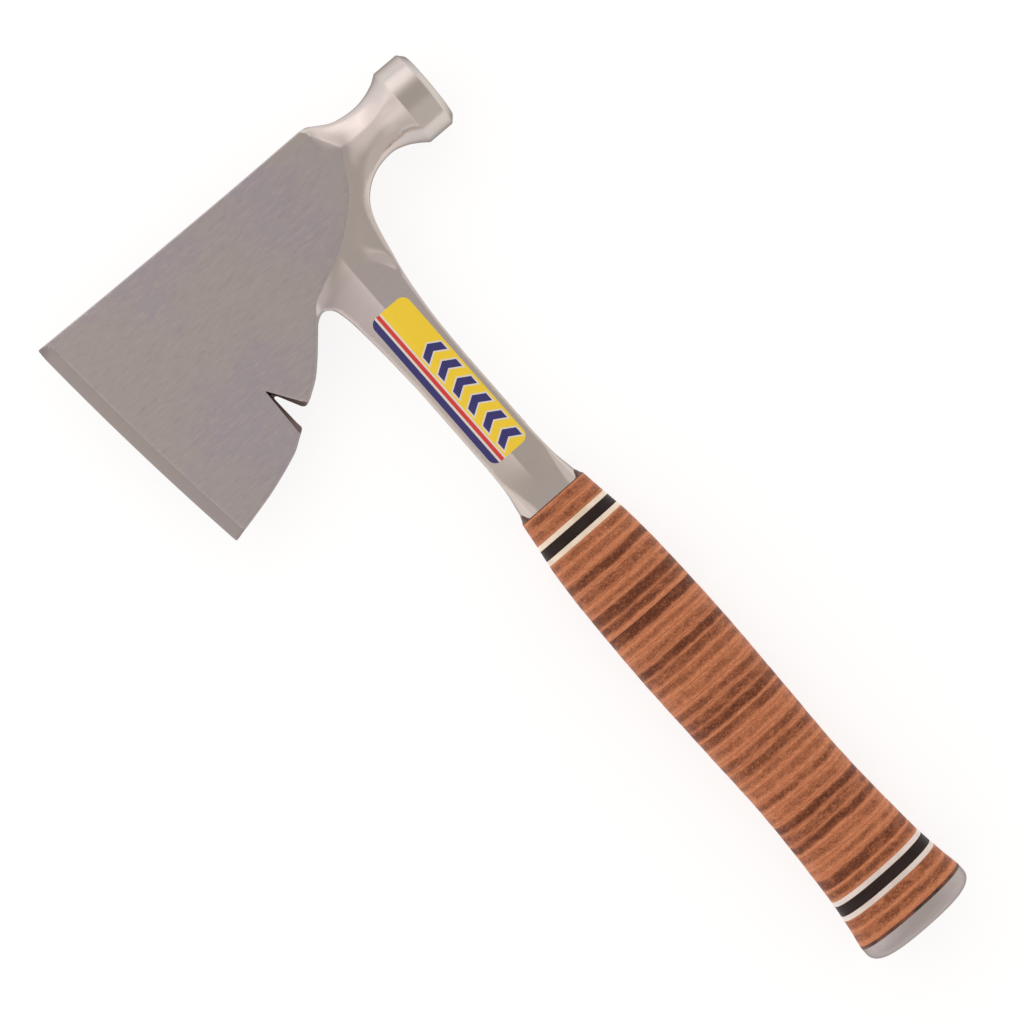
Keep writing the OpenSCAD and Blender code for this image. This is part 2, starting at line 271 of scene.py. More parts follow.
# Half width and half thickness of the bolster by height above the grip
bolster_form = spline([
    [0, BOLSTER_HALF, BOLSTER_HALF_T], [2.5, BOLSTER_HALF - 0.35, BOLSTER_HALF_T - 0.35],
    [5.5, SHANK_HALF + 1.45, SHANK_RIDGE + 0.5], [9.5, SHANK_HALF + 0.7, SHANK_RIDGE + 0.25],
    [13.5, SHANK_HALF + 0.3, SHANK_RIDGE + 0.1], [20.5, SHANK_HALF, SHANK_RIDGE],
], 0.7)


def shank_side(side):
    """One side of the shank, -1 or 1, from the grip's top up to the head."""
    h = bolster_form[:, 0]
    flare = smoothstep(1 - h / 16)
    powers = np.full((len(h), 2), 2.0)
    rounding = np.column_stack([0.8 + 5.7 * flare, 0.8 + 5.0 * flare, powers])
    rows = np.column_stack([side * bolster_form[:, 1], GRIP_TOP + h, rounding])
    straight = line([rows[-1], [side * SHANK_HALF, SHANK_TO, *rows[-1, 2:]]], 0.8)
    return grip_to_head(np.vstack([rows, straight[1:]]))


left_side = shank_side(-1)[::-1]
right_side = shank_side(1)
bolster_foot = grip_to_head(line([[-BOLSTER_HALF, GRIP_TOP, *KEEN], [BOLSTER_HALF, GRIP_TOP, *KEEN]], 0.5))
inner_corner = spline([
    [11.25, -90.0, 0.8, 0.8, 2, 2], [11.5, -75.0, 0.8, 0.8, 2, 2], [12.8, -60.0, 1.2, 1.0, 2, 2],
    [14.5, -50.0, 2.0, 1.3, 2, 2], [16.6, -40.0, 3.4, 1.7, 2, 2], [19.2, -33.6, 5.2, 2.3, 2, 2],
    [23.2, -29.2, 7.4, 3.2, 2, 2], [28.6, -26.3, 8.8, 4.8, 2, 2], [35.5, -25.3, 9.6, 7.6, 2, 2],
    [40.5, -26.5, 10.4, 10.4, 2, 2], [44.2, -28.5, 12.2, 13, 2, 2],
    [POLL_FROM, POLL_Y - POLL_R, POLL_R, 16, 2, 2],
], 0.5)
ring_angle = np.linspace(math.pi, 0, RING + 1)
poll_joint = np.array([[POLL_FROM, POLL_Y + POLL_R * math.cos(a), *KEEN] for a in ring_angle])

# The outline runs anticlockwise from the left end of the bolster's foot.
right_half = np.vstack([right_side[:-1], inner_corner])
left_spans = (neck_top, blade_top, blade_corner, edge, heel, beard_front, notch_edge, beard_rear, left_side)
left_half = np.vstack([span[:-1] for span in left_spans] + [left_side[-1:]])
outline = np.vstack([bolster_foot[:-1], right_half[:-1], poll_joint[:-1], left_half[:-1]])
FOOT_TO = len(bolster_foot) - 1
JOINT_FROM = FOOT_TO + len(right_half) - 1
JOINT_TO = JOINT_FROM + RING


# ---------------------------------------------------------------- thickness of the forging
def past(points, path):
    """Signed distance from an open path, positive on its right."""
    rows = np.column_stack([path[:, :2], np.gradient(path[:, :2], axis=0)])
    dist, near = nearest(points, rows)
    side = near[:, 2] * (points[:, 1] - near[:, 1]) - near[:, 3] * (points[:, 0] - near[:, 0])
    return np.where(side < 0, dist, -dist)


def micro_bevel(y):
    """Width of the fine bevel along the edge, which widens towards the heel."""
    return 0.3 + 0.6 * np.clip((EDGE_TOP[1] - y) / (EDGE_TOP[1] - EDGE_LOW[1]), 0, 1)


def blade_half(points):
    """Half thickness of the ground blade: a fine edge, the bevel and the flat cheek."""
    d = nearest(points, cutting_edge)[0]
    micro = micro_bevel(points[:, 1])
    micro_t = EDGE_HALF_T + MICRO_SLOPE * micro
    bevel = micro_t + (BEVEL_HALF_T - micro_t) * (d - micro) / (BEVEL_W - micro)
    cheek = BEVEL_HALF_T + CHEEK_SLOPE * (d - BEVEL_W)
    return np.where(d > BEVEL_W, cheek, np.where(d > micro, bevel, EDGE_HALF_T + MICRO_SLOPE * d))


# The notch's bevels meet at the apex. For each: start and end of its root, and its brink's end at the mouth.
notch_apex = np.array([-46.5, -58.1])
notch_left = [[-45.95, -61.4], [-45.35, -72.5], [-46.85, -75.7]]
notch_right = [[-44.9, -61.4], [-40.6, -69.7], [-38.9, -69.4]]


def notch_wall(points, side):
    """Height of one of the notch's bevels, from the land at its root up to the face along its brink."""
    root, end, mouth = np.array(side, float)
    along = (end - root) / np.hypot(*(end - root))
    across = np.array([-along[1], along[0]])
    across *= np.sign((mouth - root) @ across)
    apex_at, mouth_at = (notch_apex - root) @ along, (mouth - root) @ along
    apex_w, mouth_w = (notch_apex - root) @ across, (mouth - root) @ across
    share = ((points[:, :2] - root) @ along - apex_at) / (mouth_at - apex_at)
    width = np.maximum(apex_w + (mouth_w - apex_w) * share, 0.05)
    return NOTCH_LAND + NOTCH_RISE * ((points[:, :2] - root) @ across) / width


def notch_half(points):
    """Half thickness that the notch's two bevels leave."""
    walls = np.maximum(notch_wall(points, notch_left), notch_wall(points, notch_right))
    return np.maximum(walls, NOTCH_LAND)


# Distance from the grip's axis and half thickness of the neck
neck_half_t = spline([
    [10, 4.0], [14, 4.05], [18, 4.3], [22, 4.75], [25, 5.2], [30, 5.95], [35, 7.2], [40, 9.5],
    [44, 12.1], [POLL_FROM, POLL_R], [50, 15.5],
], 0.5)
# Where the shank passes into the neck, and the height of the hollow between them
hollow_line = spline([[2.5, -36.0], [5.2, -40.5], [8.2, -46.8], [11.6, -51.8], [14.6, -58.0]], 0.6)
HOLLOW_Y = -50.5


def forged_half(points):
    """Half thickness of the forged part, before its outline is rounded: ridged shank, bolster and neck."""
    g = head_to_grip(points)
    h = np.clip(g[:, 1] - GRIP_TOP, 0, bolster_form[-1, 0])
    ridge = np.interp(h, bolster_form[:, 0], bolster_form[:, 2])
    roof = SHANK_ROOF * smoothstep(h, 3, 20) * (np.abs(g[:, 0]) / SHANK_HALF) ** 0.8
    above = points[:, 1] - HOLLOW_Y
    dip = 1.4 * np.exp(-((above / np.where(above > 0, 6, 15)) ** 2))
    neck = np.interp(points[:, 0], neck_half_t[:, 0], neck_half_t[:, 1])
    to_neck = smoothstep(past(points, hollow_line[::-1]), -2.5, 3.0)
    return ridge - roof - dip + (neck - ridge + roof + dip) * to_neck


def neck_section(points):
    """Half thickness of the neck where it turns into the round poll."""
    x = points[:, 0]
    top = np.interp(x, neck_top[::-1, 0], neck_top[::-1, 1])
    low = np.interp(x, inner_corner[:, 0], inner_corner[:, 1])
    middle, reach = (top + low) / 2, (top - low) / 2
    across = np.minimum(np.abs(points[:, 1] - middle) / reach, 1)
    return np.interp(x, neck_half_t[:, 0], neck_half_t[:, 1]) * np.sqrt(1 - across**2)


def half_thickness(points):
    """Half thickness of the whole forging at each point of its outline's plane."""
    dist_r, row_r = nearest(points, right_half)
    dist_l, row_l = nearest(points, left_half)
    dist = np.minimum(dist_r, dist_l)
    w, depth, p, k = np.maximum(np.where(dist_r < dist_l, row_r.T, row_l.T)[2:], 0)
    blade, forged = blade_half(points), forged_half(points)
    out = nearest(points, cheek_line)[0] * np.where(inside(points, cheek_area), -1, 1)
    beyond = np.maximum(out, 0)
    crease = 0.34 * beyond / 3 * np.exp(1 - beyond / 3)
    forged += (blade - forged) * np.exp(-beyond / 4) - crease
    body = np.where(out <= 0, np.minimum(blade, notch_half(points)), forged)
    t = np.clip(dist / np.maximum(w, 1e-6), 0, 1)
    q = np.maximum(1 - (1 - t) ** p, 0) ** (1 / k)
    height = np.maximum(body - np.minimum(depth, body) * (1 - q), 0)
    to_round = smoothstep(points[:, 0], 42, 47)
    return height * (1 - to_round) + neck_section(points) * to_round


# ---------------------------------------------------------------- the forging's mesh
def apart(points, others, gap):
    """Which points are at least gap from every one of the others."""
    keep = np.ones(len(points), bool)
    for chunk in np.array_split(np.arange(len(points)), max(1, len(points) // 1500)):
        d2 = ((points[chunk, None, :2] - others[None, :, :2]) ** 2).sum(2)
        keep[chunk] = d2.min(1) >= gap**2
    return keep


def grid(low, high, step):
    """Points of a triangular lattice over a rectangle."""
    ys = np.arange(low[1], high[1], step * 0.87)
    rows = [
        np.column_stack([xs, np.full(len(xs), y)])
        for i, y in enumerate(ys)
        for xs in [np.arange(low[0] + (i % 2) * step / 2, high[0], step)]
    ]
    return np.vstack(rows)


def offset_rings(path, depths):
    """Copies of the outline pushed inwards, without points that would come too close to another stretch."""
    p = path[:, :2]
    ahead = np.roll(p, -1, 0) - np.roll(p, 1, 0)
    inward = np.column_stack([-ahead[:, 1], ahead[:, 0]]) / np.maximum(np.hypot(*ahead.T), 1e-9)[:, None]
    rows = []
    for d in depths:
        ring = p + inward * d
        rim = (path[:, 2] > d * 0.8) & (path[:, 3] > 0)
        near = np.minimum(nearest(ring, right_half)[0], nearest(ring, left_half)[0])
        rows.append(ring[rim & (near > 0.9 * d) & inside(ring, p)])
    return np.vstack(rows)


def triangulated(border, lines, loose):
    """Triangles inside the border that keep to the lines, as 2-D points and index triples."""
    points = [border[:, :2]]
    edges = [(i, (i + 1) % len(border)) for i in range(len(border))]
    count = len(border)
    for path in lines:
        points.append(path[:, :2])
        edges += [(count + i, count + i + 1) for i in range(len(path) - 1)]
        count += len(path)
    points.append(loose[:, :2])
    flat = [Vector(p) for p in np.vstack(points)]
    verts, _, faces, originals, _, _ = delaunay_2d_cdt(flat, edges, [], 1, 1e-5)
    source = np.array([min(o) if o else -1 for o in originals])
    return np.array([tuple(v) for v in verts]), np.array(faces), source


# Lines that the face's mesh keeps to: the backs of the bevel and of the fine bevel, and the notch's ridges
shoulder = cutting_edge[3:-4] + [BEVEL_W, 0]
micro_line = cutting_edge[1:-2].copy()
micro_line[:, 0] += micro_bevel(micro_line[:, 1])
notch_brink = line([notch_left[2], notch_apex, notch_right[2]], 0.5)
notch_valley = line([[-45.5, -60.5], notch_apex], 0.5)[:-1]
# Boxes round the notch: where the mesh is fine, where the coarse mesh stays away, and where its walls are
fine_box = ((-50, -78), (-36, -55))
clear_box = ((-49.5, -77.5), (-36.5, -55.5))
wall_box = ((-46.1, -72), (-39.9, -60))
# The forging's materials, in the order that its mesh holds them
CHEEK, BEVEL, FORGED, NOTCH_WALL, POLL, PEEN = range(6)


def forging_surface():
    """The forging's face seen from +Z: points, triangles, half thicknesses, and places in the outline."""
    rim = offset_rings(outline, (0.05, 0.15, 0.3, 0.45, 0.8, 1.4, 2.1, 3.0))
    lines = [cheek_line[1:-1, :2], shoulder, micro_line, notch_brink, notch_valley]
    features = np.vstack(lines)
    coarse = grid((-96, -90), (24, 1), 1.25)
    coarse = coarse[inside(coarse, cheek_area) & ~in_box(coarse, clear_box)]
    fine = grid((-20, -150), (POLL_FROM, 0), 0.72)
    fine = fine[~inside(fine, cheek_area)]
    detail = grid(*fine_box, 0.5)
    detail = detail[inside(detail, cheek_area)]
    loose = np.vstack([coarse, fine, detail])
    loose = loose[inside(loose, outline)]
    loose = loose[apart(loose, outline, 0.3) & apart(loose, features, 0.3)]
    loose = loose[apart(loose, rim, 0.28)]
    rim = rim[apart(rim, features, 0.12)]
    points, triangles, source = triangulated(outline, lines, np.vstack([rim, loose]))
    heights = half_thickness(points)
    on_joint = (source >= JOINT_FROM) & (source <= JOINT_TO)
    across = np.clip((points[:, 1] - POLL_Y) / POLL_R, -1, 1)
    heights[on_joint] = POLL_R * np.sqrt(1 - across[on_joint] ** 2)
    return points, triangles, heights, source


def face_kinds(centre):
    """The material of each face of the forging, by its centre."""
    edge_d = nearest(centre, cutting_edge)[0]
    cut_away = notch_half(centre) < blade_half(centre)
    blade = np.where(edge_d < BEVEL_W, BEVEL, np.where(cut_away, NOTCH_WALL, CHEEK))
    return np.where(inside(centre, cheek_area), blade, FORGED)


def wall_kind(middle):
    """The material of the forging's narrow side, by the middle of one of its faces."""
    if in_box(middle, wall_box):
        return NOTCH_WALL
    return FORGED if middle[0] > -17 else CHEEK


ring_turns = np.arange(RING) * 2 * math.pi / RING


class Shell:
    """A mesh in the making: vertices in the head's frame, faces, and each face's place in the materials."""

    def __init__(self, verts=()):
        self.verts = list(verts)
        self.faces = []
        self.kinds = []

    def face(self, corners, kind):
        """Adds a face, unless its corners fall together."""
        distinct = tuple(dict.fromkeys(corners))
        if len(distinct) > 2:
            self.faces.append(distinct)
            self.kinds.append(kind)

    def ring(self, rows):
        """Adds a ring of vertices and returns their numbers."""
        start = len(self.verts)
        self.verts.extend(rows)
        return list(range(start, len(self.verts)))

    def sleeve(self, last, rows, kind):
        """Adds a ring of vertices and the faces that join it to the last ring."""
        now = self.ring(rows)
        for k in range(len(now)):
            m = (k + 1) % len(now)
            self.face([last[k], now[k], now[m], last[m]], kind)
        return now

    def turned(self, x, profile, kind):
        """Adds a closed turned shape, from heights above the butt and radii, about an axis at x."""
        circle = np.column_stack([np.cos(ring_turns), np.zeros(RING), np.sin(ring_turns)])
        rings = [grip_to_head(circle * r + [x, y, 0]) for y, r in profile]
        last = self.ring(rings[0])
        self.face(last, kind)
        for rows in rings[1:]:
            last = self.sleeve(last, rows, kind)
        self.face(last, kind)


# Distances from the grip's axis and radii of the poll, and heights above the butt and radii of a tenon
poll_profile = [
    (POLL_FROM + 0.15, POLL_R), (POLL_REACH - POLL_CHAMFER - 0.2, POLL_R),
    (POLL_REACH - POLL_CHAMFER, POLL_R - 0.06), (POLL_REACH - POLL_CHAMFER + 0.22, POLL_R - 0.24),
    (POLL_REACH - 0.42, POLL_R - 1.92), (POLL_REACH - 0.24, POLL_R - 2.2), (POLL_REACH - 0.12, POLL_R - 2.7),
    (POLL_REACH - 0.05, POLL_R - 6.0), (POLL_REACH - 0.01, POLL_R - 11.0), (POLL_REACH, 0.8),
]
tenon_profile = [
    (CAP_T + 1, TENON_R), (1.5, TENON_R), (0.62, PEEN_R - 0.1), (0.46, PEEN_R), (0.34, PEEN_R - 0.05),
    (0.22, PEEN_R - 0.3), (0.13, PEEN_R - 0.8), (0.07, PEEN_R - 1.6), (0.04, PEEN_R - 2.6), (0.03, 0.3),
]


def add_poll(shell, last):
    """Sweeps the joint's ring along the poll's axis, and closes it by the slightly crowned striking face."""
    spin = [(shell.verts[i][1] - POLL_Y, shell.verts[i][2]) for i in last]
    for x, r in poll_profile:
        last = shell.sleeve(last, [(x, POLL_Y + y * r / POLL_R, z * r / POLL_R) for y, z in spin], POLL)
    shell.face(last, POLL)


def add_tang(shell, last):
    """Narrows the ring of the bolster's foot at once to the flat bar that runs through the grip."""
    across = np.linspace(-TANG_HALF, TANG_HALF, len(bolster_foot))
    for y in (GRIP_TOP, CAP_T):
        bar = [(x, y, TANG_HALF_T) for x in across] + [(x, y, -TANG_HALF_T) for x in across[-2:0:-1]]
        last = shell.sleeve(last, grip_to_head(bar), FORGED)
    shell.face(last, FORGED)


def forging_mesh():
    """The forging: two faces and the sides between them, the poll, the tang and the peened tenons."""
    points, triangles, heights, source = forging_surface()
    shell = Shell([*zip(*points.T, heights), *zip(*points.T, -heights)])
    count = np.arange(len(points))
    low = np.where(heights > 1e-4, count + len(points), count)
    for triangle, kind in zip(triangles, face_kinds(points[triangles].mean(1))):
        shell.face(triangle, kind)
        shell.face(low[triangle], kind)

    place = {s: i for i, s in enumerate(source) if 0 <= s < len(outline)}
    ring = [place[i] for i in range(len(outline))]
    for i, (a, b) in enumerate(zip(ring, ring[1:] + ring[:1])):
        if i >= FOOT_TO and not JOINT_FROM <= i < JOINT_TO:
            shell.face([low[a], low[b], b, a], wall_kind((points[a] + points[b]) / 2))

    def around(upper):
        """A closed ring: along the upper vertices and back along the lower ones."""
        return upper + [low[i] for i in upper[-2:0:-1]]

    add_poll(shell, around(ring[JOINT_FROM:JOINT_TO + 1]))
    add_tang(shell, around(ring[:FOOT_TO + 1]))
    for x in (-TENON_GAP / 2, TENON_GAP / 2):
        shell.turned(x, tenon_profile, PEEN)
    return shell


def made(name, verts, faces, materials, kinds=None, sharp=35, replaced=None):
    """An object of the hatchet from points in the head's frame, on its body in place of its CAD node."""
    mesh = bpy.data.meshes.new(name)
    mesh.from_pydata([tuple(v) for v in to_row(verts)], [], [tuple(int(i) for i in f) for f in faces])
    for material in materials:
        mesh.materials.append(material)
    if kinds is not None:
        mesh.polygons.foreach_set("material_index", np.array(kinds, np.int32))
    b = bmesh.new()
    b.from_mesh(mesh)
    bmesh.ops.recalc_face_normals(b, faces=b.faces)
    b.to_mesh(mesh)
    b.free()
    mesh.polygons.foreach_set("use_smooth", np.ones(len(mesh.polygons), bool))
    mesh.set_sharp_from_angle(angle=math.radians(sharp))
    piece = bpy.data.objects.new(name, mesh)
    bpy.context.scene.collection.objects.link(piece)
    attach(piece, "root")
    if replaced:
        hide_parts(replaced)
    return piece


# ---------------------------------------------------------------- the grip's rings
# Height above the butt, half width and half thickness of the grip
grip_form = np.array([
    [0, 21.05, 14.4], [CAP_T, 21.05, 14.4], [15, 19.7, 13.75], [28, 18.2, 13.1], [60, 16.6, 12.3],
    [90, 17.03, 12.9], [120, 17.45, 13.5], [150, 16.8, 12.8], [165, 15.8, 11.8], [175, 14.4, 10.9],
    [GRIP_TOP, 13.1, 10.1],
])
before, after = np.vstack([grip_form[:1], grip_form[:-1]]), np.vstack([grip_form[1:], grip_form[-1:]])
grip_slope = (after - before)[:, 1:] / (after - before)[:, :1]
angles = np.arange(ROUND) * 2 * math.pi / ROUND


def grip_at(y):
    """Half width and half thickness of the grip at that height."""
    i = int(np.clip(np.searchsorted(grip_form[:, 0], y, "right") - 1, 0, len(grip_form) - 2))
    h = grip_form[i + 1, 0] - grip_form[i, 0]
    t = (y - grip_form[i, 0]) / h
    a, b = grip_form[i, 1:], grip_form[i + 1, 1:]
    return (
        a * (1 + 2 * t) * (1 - t) ** 2 + grip_slope[i] * h * t * (1 - t) ** 2
        + b * t * t * (3 - 2 * t) + grip_slope[i + 1] * h * t * t * (t - 1))


def oval(a, b):
    """Points of the grip's oval, as x and z."""
    power = 2 / OVAL_POWER
    c, s = np.cos(angles), np.sin(angles)
    return np.column_stack([a * np.sign(c) * np.abs(c) ** power, b * np.sign(s) * np.abs(s) ** power])


def slot_ring():
    """Points of the tang's slot, in about the directions of the oval's points."""
    c, s = oval(1.0, 0.74).T
    reach = np.minimum(TANG_HALF / np.maximum(np.abs(c), 1e-6), TANG_HALF_T / np.maximum(np.abs(s), 1e-6))
    points = np.column_stack([c * reach, s * reach])
    for x in (-TANG_HALF, TANG_HALF):
        for z in (-TANG_HALF_T, TANG_HALF_T):
            points[np.hypot(points[:, 0] - x, points[:, 1] - z).argmin()] = (x, z)
    return points


def level(points, y):
    """Points given as x and z, at a height or at one height each, as x, y, z in the grip's frame."""
    return np.column_stack([points[:, 0], np.broadcast_to(y, len(points)), points[:, 1]])


def loop_of_rings(rings, closed):
    """Vertices and faces of a surface through rings of ROUND points; closed joins the last to the first."""
    count = len(rings)
    faces = []
    for k in range(count if closed else count - 1):
        a, b = k * ROUND, ((k + 1) % count) * ROUND
        for i in range(ROUND):
            j = (i + 1) % ROUND
            faces.append((a + i, a + j, b + j, b + i))
    return np.vstack(rings), faces


def stand_back(depth, round_off):
    """How far an edge rounded by round_off stands back, at that depth from its end."""
    share = np.clip(1 - depth / round_off, 0, 1)
    return round_off * (1 - math.sqrt(1 - share**2))


def slice_rings(low, high, round_off, proud=0.0):
    """Rings round one slice of the grip, from height low to high, with both its ends rounded off."""
    heights = [*np.linspace(low, high, 7)]
    for share in (0.35, 0.75):
        heights += [low + share * round_off, high - share * round_off]
    rings = []
    for y in sorted(heights):
        out = proud - stand_back(min(y - low, high - y), round_off)
        a, b = grip_at(y)
        rings.append(level(oval(a + out, b + out), y))
    return rings


def grip_piece(name, low, high, material, round_off=0.16, proud=0.0):
    """A slice of the grip, with the tang's slot through it, in place of the CAD node of that name."""
    rings = slice_rings(low, high, round_off, proud)
    rings += [level(slot_ring(), high), level(slot_ring(), low)]
    points, faces = loop_of_rings(rings, True)
    return made(name + "_piece", grip_to_head(points), faces, [material], replaced=name)


def top_washer(low, high, materials):
    """The uppermost washer, whose rim is drawn up round the bolster's narrow sides as two dark brown lips;
    the dark band round its last 0.35 mm below them is painted shade at the bolster's foot.
    """
    rim = high - 0.35
    rings = [*slice_rings(low, high, 0.16)[:-1], level(oval(*grip_at(rim)), rim)]
    rings.sort(key=lambda ring: ring[0, 1])
    rise = EAR_H * smoothstep(np.abs(np.cos(angles)), 0.7, 0.95)
    for share, grow in ((0.3, 0.55), (0.65, 0.34), (0.9, 0.16), (1.0, 0.02), (0.96, -0.12)):
        half = np.interp(share * EAR_H, bolster_form[:, 0], bolster_form[:, 1])
        rings.append(level(oval(half + grow, BOLSTER_HALF_T + grow), high + rise * share))
    rings.append(level(oval(BOLSTER_HALF - 0.05, BOLSTER_HALF_T - 0.05), high))
    rings += [level(slot_ring(), high), level(slot_ring(), low)]
    points, faces = loop_of_rings(rings, True)
    # Faces from that band up take the second material: the lips' own dark brown, and painted shade on the
    # band under the bolster's foot.
    kinds = [int(points[k * ROUND, 1] > rim - 0.01) for k in range(len(rings)) for _ in range(ROUND)]
    return made(
        "leather_washer_01_piece", grip_to_head(points), faces, materials, kinds,
        replaced="leather_washer_01")


# ---------------------------------------------------------------- materials
def rgb(r, g, b):
    """sRGB 0-255 to a linear colour."""
    return (*[(v / 255 / 12.92) if v <= 10 else ((v / 255 + 0.055) / 1.055) ** 2.4 for v in (r, g, b)], 1.0)


class Nodes:
    """Short calls for building a material's nodes."""

    def __init__(self, name):
        self.material = bpy.data.materials.new(name)
        self.material.use_nodes = True
        self.tree = self.material.node_tree
        self.shader = self.tree.nodes["Principled BSDF"]
        self.coords = self.tree.nodes.new("ShaderNodeTexCoord").outputs["Object"]

    def link(self, source, socket):
        if hasattr(source, "is_output"):
            self.tree.links.new(source, socket)
        else:
            socket.default_value = source

    def mapped(self, scale=(1, 1, 1), turn=0.0, move=(0, 0, 0)):
        node = self.tree.nodes.new("ShaderNodeMapping")
        self.link(self.coords, node.inputs["Vector"])
        node.inputs["Location"].default_value = move
        node.inputs["Rotation"].default_value = (0, 0, turn)
        node.inputs["Scale"].default_value = scale
        return node.outputs[0]

    def noise(self, vector, scale, detail=3.0, rough=0.5, distortion=0.0):
        node = self.tree.nodes.new("ShaderNodeTexNoise")
        self.link(vector, node.inputs["Vector"])
        node.inputs["Scale"].default_value = scale
        node.inputs["Detail"].default_value = detail
        node.inputs["Roughness"].default_value = rough
        node.inputs["Distortion"].default_value = distortion
        return node.outputs[0]

    def ramp(self, value, low, high, to_low=0.0, to_high=1.0):
        node = self.tree.nodes.new("ShaderNodeMapRange")
        node.interpolation_type = "SMOOTHSTEP"
        self.link(value, node.inputs[0])
        for i, number in enumerate((low, high, to_low, to_high), 1):
            node.inputs[i].default_value = number
        return node.outputs[0]

    def math(self, kind, a, b=0.0, c=0.0):
        node = self.tree.nodes.new("ShaderNodeMath")
        node.operation = kind
        for socket, value in zip(node.inputs, (a, b, c)):
            self.link(value, socket)
        return node.outputs[0]

    def mix(self, factor, a, b):
        node = self.tree.nodes.new("ShaderNodeMix")
        node.data_type = "RGBA"
        self.link(factor, node.inputs[0])
        self.link(a, node.inputs[6])
        self.link(b, node.inputs[7])
        return node.outputs[2]

    def bump(self, height, distance, strength=1.0, normal=None):
        node = self.tree.nodes.new("ShaderNodeBump")
        self.link(height, node.inputs["Height"])
        node.inputs["Distance"].default_value = distance
        node.inputs["Strength"].default_value = strength
        if normal is not None:
            self.link(normal, node.inputs["Normal"])
        self.tree.links.new(node.outputs[0], self.shader.inputs["Normal"])
        return node.outputs[0]

    def split(self, vector):
        node = self.tree.nodes.new("ShaderNodeSeparateXYZ")
        self.link(vector, node.inputs[0])
        return node.outputs

    def set(self, **values):
        for key, value in values.items():
            self.link(value, self.shader.inputs[key.replace("_", " ")])


def steel(name, base, rough, grain, grain_turn, grain_scale, tint=0.04, blotch=90.0, mottle=0.0):
    """Bare forged steel: soft warm and lilac clouds, short mottled streaks, and fine grinding lines."""
    n = Nodes(name)
    clouds = n.noise(n.mapped(), blotch, 4, 0.6, 0.4)
    drift = n.noise(n.mapped(move=(3, 1, 2)), blotch / 3, 2, 0.5, 0.2)
    lines = n.noise(n.mapped((0.035, 1, 1), grain_turn), grain_scale, 3, 0.65)
    streaks = n.noise(n.mapped((0.24, 1, 1), grain_turn + 0.12, (5, 0, 0)), grain_scale / 3, 4, 0.65, 0.5)

    def shifted(red, green, blue):
        return [min(1, c * (1 + f * tint)) for c, f in zip(base[:3], (red, green, blue))] + [1]

    colour = n.mix(n.ramp(drift, 0.35, 0.65), shifted(0.6, 0.5, -0.6), shifted(-0.4, -0.6, 0.8))
    pale = n.math("MULTIPLY", n.ramp(streaks, 0.48, 0.66), 0.3 + mottle)
    dull = n.math("MULTIPLY", n.ramp(streaks, 0.46, 0.3), 0.2 + mottle)
    colour = n.mix(pale, colour, shifted(1.4, 1.4, 0.3))
    colour = n.mix(dull, colour, shifted(-1.4, -1.5, -0.9))
    n.set(Base_Color=colour, Metallic=1.0, Specular_Tint=(0.4, 0.38, 0.37, 1))
    varied = n.math("MULTIPLY_ADD", clouds, 0.06, rough - 0.03)
    n.set(Roughness=n.math("MULTIPLY_ADD", lines, grain * 0.2, varied))
    fine = n.bump(lines, 0.00002, min(1.0, 0.1 + grain))
    fine = n.bump(streaks, 0.00003, min(1.0, mottle), fine)
    n.bump(clouds, 0.00008, 0.12, fine)
    return n.material


def leather(name, y_from, thick, dark, seed):
    """One washer's edge: pale smooth skins, and between them a dark mottled band round the grip."""
    n = Nodes(name)
    move = (seed * 1.7, 0, seed * 0.9)
    along = n.mapped((1, 1, 1), -LEAN)
    y = n.math("MULTIPLY_ADD", n.split(along)[1], 1 / (thick * MM), -y_from / thick)
    wander = n.noise(n.mapped((110, 40, 110), -LEAN, move), 1.0, 4, 0.65)
    y = n.math("ADD", y, n.math("MULTIPLY_ADD", wander, 0.44, -0.22))
    centre = 0.5 + 0.12 * math.sin(seed * 5.1)
    half = 0.26 + 0.14 * dark + 0.06 * math.sin(seed * 3.3)
    off = n.math("ABSOLUTE", n.math("SUBTRACT", y, centre))
    band = n.ramp(off, half - 0.2, half + 0.14, 1.0, 0.0)
    patches = n.noise(n.mapped((130, 300, 130), -LEAN, move), 1.0, 3, 0.55, 0.8)
    squiggle = n.noise(n.mapped((560, 900, 560), -LEAN, move), 1.0, 4, 0.65, 2.4)
    fibres = n.noise(n.mapped((430, 1050, 430), -LEAN, move), 1.0, 4, 0.6, 2.2)
    fine = n.noise(n.mapped((1500, 2400, 1500), -LEAN, move), 1.0, 2, 0.6, 1.0)
    light, mid, deep = rgb(222, 146, 104), rgb(194, 116, 76), rgb(92, 46, 27)
    colour = n.mix(n.ramp(fibres, 0.32, 0.68), mid, light)
    amount = n.math("MULTIPLY", band, n.ramp(patches, 0.3, 0.6, 0.25 + 0.45 * dark, 1.0))
    spots = n.ramp(squiggle, 0.4 + 0.12 * dark, 0.52 + 0.12 * dark, 1.0, 0.0)
    colour = n.mix(n.math("MULTIPLY", amount, 0.4 + 0.5 * dark), colour, rgb(140, 74, 42))
    colour = n.mix(n.math("MULTIPLY", n.math("MULTIPLY", amount, spots), 0.5 + 0.5 * dark), colour, deep)
    seam = n.ramp(n.math("ABSOLUTE", n.math("SUBTRACT", n.math("FRACT", y), 0.5)), 0.43, 0.5, 0.0, 0.2)
    colour = n.mix(seam, colour, rgb(150, 84, 52))
    colour = n.mix(n.math("MULTIPLY", n.ramp(fine, 0.55, 0.75), 0.2), colour, light)
    colour = n.mix(n.math("MULTIPLY", n.ramp(fine, 0.45, 0.3), 0.3), colour, rgb(120, 62, 36))
    n.set(Base_Color=colour, Roughness=n.ramp(squiggle, 0.3, 0.7, 0.45, 0.6), Specular_IOR_Level=0.22)
    rough = n.bump(fibres, 0.00006, 0.5)
    n.bump(squiggle, 0.00012, 0.5, rough)
    return n.material


